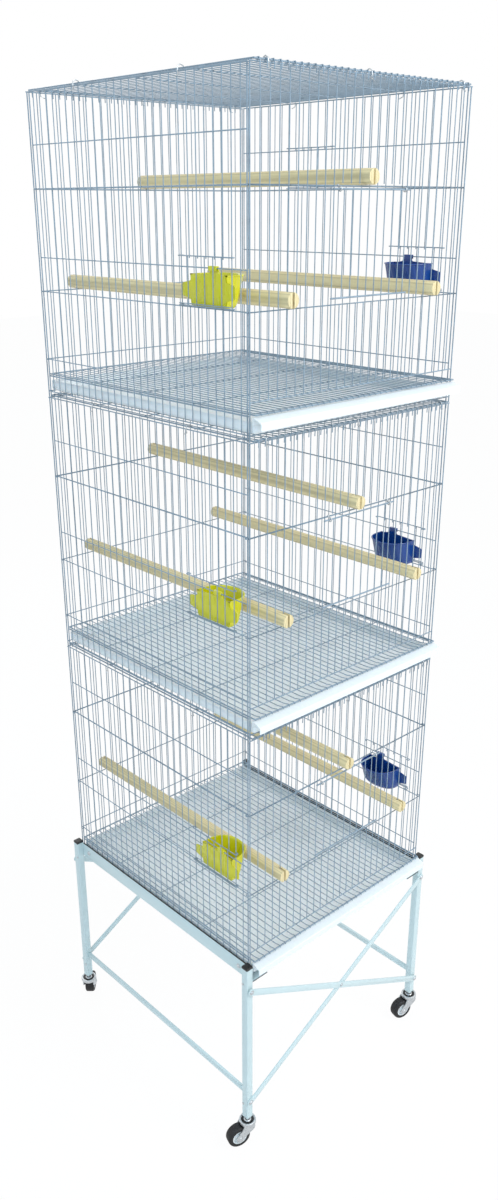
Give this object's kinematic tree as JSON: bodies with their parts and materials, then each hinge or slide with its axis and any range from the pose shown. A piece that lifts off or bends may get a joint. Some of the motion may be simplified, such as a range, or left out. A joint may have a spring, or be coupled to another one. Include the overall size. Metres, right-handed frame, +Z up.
{
  "type": "bird breeding cage",
  "caption": "Free-standing stack of wire breeding cages on a rolling stand, each with sliding tray and grille, doors, perches and hook-on cups.",
  "frame": {"origin": "on the floor, under the middle of the cages", "axes": "+Z up, the front of the cages faces -Y, +X to the right of someone facing the front"},
  "size_m": [0.5082, 0.5188, 1.6338],
  "materials": {
    "coated_wire": "glossy coating",
    "coated_steel": "satin white coating",
    "white_plastic": "smooth",
    "wood": "sanded, bare",
    "yellow_plastic": "glossy",
    "blue_plastic": "glossy",
    "zinc": "zinc plated",
    "black_rubber": "moulded"
  },
  "bodies": {
    "rack": {"stand_side_left": "coated_steel", "stand_side_right": "coated_steel", "brace_front_rising": "coated_steel", "brace_front_falling": "coated_steel", "brace_back_rising": "coated_steel", "brace_back_falling": "coated_steel", "bottom_wall_front": "coated_wire", "bottom_wall_back": "coated_wire", "bottom_wall_left": "coated_wire", "bottom_wall_right": "coated_wire", "bottom_roof": "coated_wire", "bottom_perch_high": "wood", "bottom_perch_left": "wood", "bottom_perch_right": "wood", "bottom_cup_yellow": "yellow_plastic", "bottom_cup_blue": "blue_plastic", "middle_wall_front": "coated_wire", "middle_wall_back": "coated_wire", "middle_wall_left": "coated_wire", "middle_wall_right": "coated_wire", "middle_roof": "coated_wire", "middle_perch_high": "wood", "middle_perch_left": "wood", "middle_perch_right": "wood", "middle_cup_yellow": "yellow_plastic", "middle_cup_blue": "blue_plastic", "top_wall_front": "coated_wire", "top_wall_back": "coated_wire", "top_wall_left": "coated_wire", "top_wall_right": "coated_wire", "top_roof": "coated_wire", "top_perch_high": "wood", "top_perch_left": "wood", "top_perch_right": "wood", "top_cup_yellow": "yellow_plastic", "top_cup_blue": "blue_plastic"},
    "bottom_tray": {"bottom_tray": "white_plastic"},
    "bottom_grille": {"bottom_grille": "coated_wire"},
    "bottom_door": {"bottom_door": "coated_wire"},
    "bottom_feeder_door_left": {"bottom_feeder_door_left": "coated_wire"},
    "bottom_feeder_door_right": {"bottom_feeder_door_right": "coated_wire"},
    "middle_tray": {"middle_tray": "white_plastic"},
    "middle_grille": {"middle_grille": "coated_wire"},
    "middle_door": {"middle_door": "coated_wire"},
    "middle_feeder_door_left": {"middle_feeder_door_left": "coated_wire"},
    "middle_feeder_door_right": {"middle_feeder_door_right": "coated_wire"},
    "top_tray": {"top_tray": "white_plastic"},
    "top_grille": {"top_grille": "coated_wire"},
    "top_door": {"top_door": "coated_wire"},
    "top_feeder_door_left": {"top_feeder_door_left": "coated_wire"},
    "top_feeder_door_right": {"top_feeder_door_right": "coated_wire"},
    "top_nest_door": {"top_nest_door": "coated_wire"},
    "fork_front_left": {"caster_fork_front_left": "zinc"},
    "wheel_front_left": {"caster_wheel_front_left": "black_rubber"},
    "fork_front_right": {"caster_fork_front_right": "zinc"},
    "wheel_front_right": {"caster_wheel_front_right": "black_rubber"},
    "fork_back_left": {"caster_fork_back_left": "zinc"},
    "wheel_back_left": {"caster_wheel_back_left": "black_rubber"},
    "fork_back_right": {"caster_fork_back_right": "zinc"},
    "wheel_back_right": {"caster_wheel_back_right": "black_rubber"}
  },
  "joints": [
    {"name": "bottom_tray_slide", "type": "slide", "parent": "rack", "child": "bottom_tray", "axis": [0, -1, 0], "range_m": [0, 0.4]},
    {"name": "bottom_grille_slide", "type": "slide", "parent": "rack", "child": "bottom_grille", "axis": [0, -1, 0], "range_m": [0, 0.42]},
    {"name": "bottom_door_hinge", "type": "hinge", "parent": "rack", "child": "bottom_door", "pos_m": [0.008, -0.235, 0.6395], "axis": [-1, 0, 0], "range_deg": [0, 90]},
    {"name": "bottom_feeder_door_left_slide", "type": "slide", "parent": "rack", "child": "bottom_feeder_door_left", "axis": [0, 0, 1], "range_m": [0, 0.043]},
    {"name": "bottom_feeder_door_right_slide", "type": "slide", "parent": "rack", "child": "bottom_feeder_door_right", "axis": [0, 0, 1], "range_m": [0, 0.043]},
    {"name": "middle_tray_slide", "type": "slide", "parent": "rack", "child": "middle_tray", "axis": [0, -1, 0], "range_m": [0, 0.4]},
    {"name": "middle_grille_slide", "type": "slide", "parent": "rack", "child": "middle_grille", "axis": [0, -1, 0], "range_m": [0, 0.42]},
    {"name": "middle_door_hinge", "type": "hinge", "parent": "rack", "child": "middle_door", "pos_m": [0.008, -0.235, 1.0695], "axis": [-1, 0, 0], "range_deg": [0, 90]},
    {"name": "middle_feeder_door_left_slide", "type": "slide", "parent": "rack", "child": "middle_feeder_door_left", "axis": [0, 0, 1], "range_m": [0, 0.043]},
    {"name": "middle_feeder_door_right_slide", "type": "slide", "parent": "rack", "child": "middle_feeder_door_right", "axis": [0, 0, 1], "range_m": [0, 0.043]},
    {"name": "top_tray_slide", "type": "slide", "parent": "rack", "child": "top_tray", "axis": [0, -1, 0], "range_m": [0, 0.4]},
    {"name": "top_grille_slide", "type": "slide", "parent": "rack", "child": "top_grille", "axis": [0, -1, 0], "range_m": [0, 0.42]},
    {"name": "top_door_hinge", "type": "hinge", "parent": "rack", "child": "top_door", "pos_m": [0.008, -0.235, 1.4995], "axis": [-1, 0, 0], "range_deg": [0, 90]},
    {"name": "top_feeder_door_left_slide", "type": "slide", "parent": "rack", "child": "top_feeder_door_left", "axis": [0, 0, 1], "range_m": [0, 0.043]},
    {"name": "top_feeder_door_right_slide", "type": "slide", "parent": "rack", "child": "top_feeder_door_right", "axis": [0, 0, 1], "range_m": [0, 0.043]},
    {"name": "top_nest_door_slide", "type": "slide", "parent": "rack", "child": "top_nest_door", "axis": [0, 0, 1], "range_m": [0, 0.043]},
    {"name": "swivel_front_left", "type": "hinge", "parent": "rack", "child": "fork_front_left", "pos_m": [-0.21635, -0.2338, 0.048], "axis": [0, 0, 1], "continuous": true},
    {"name": "roll_front_left", "type": "hinge", "parent": "fork_front_left", "child": "wheel_front_left", "pos_m": [-0.23356, -0.22854, 0.02], "axis": [-0.2924, -0.9563, 0], "continuous": true},
    {"name": "swivel_front_right", "type": "hinge", "parent": "rack", "child": "fork_front_right", "pos_m": [0.21635, -0.2338, 0.048], "axis": [0, 0, 1], "continuous": true},
    {"name": "roll_front_right", "type": "hinge", "parent": "fork_front_right", "child": "wheel_front_right", "pos_m": [0.19881, -0.22975, 0.02], "axis": [-0.225, -0.9744, 0], "continuous": true},
    {"name": "swivel_back_left", "type": "hinge", "parent": "rack", "child": "fork_back_left", "pos_m": [-0.21635, 0.2338, 0.048], "axis": [0, 0, 1], "continuous": true},
    {"name": "roll_back_left", "type": "hinge", "parent": "fork_back_left", "child": "wheel_back_left", "pos_m": [-0.20431, 0.24718, 0.02], "axis": [-0.7431, 0.6691, 0], "continuous": true},
    {"name": "swivel_back_right", "type": "hinge", "parent": "rack", "child": "fork_back_right", "pos_m": [0.21635, 0.2338, 0.048], "axis": [0, 0, 1], "continuous": true},
    {"name": "roll_back_right", "type": "hinge", "parent": "fork_back_right", "child": "wheel_back_right", "pos_m": [0.23266, 0.24141, 0.02], "axis": [-0.4226, 0.9063, 0], "continuous": true}
  ]
}
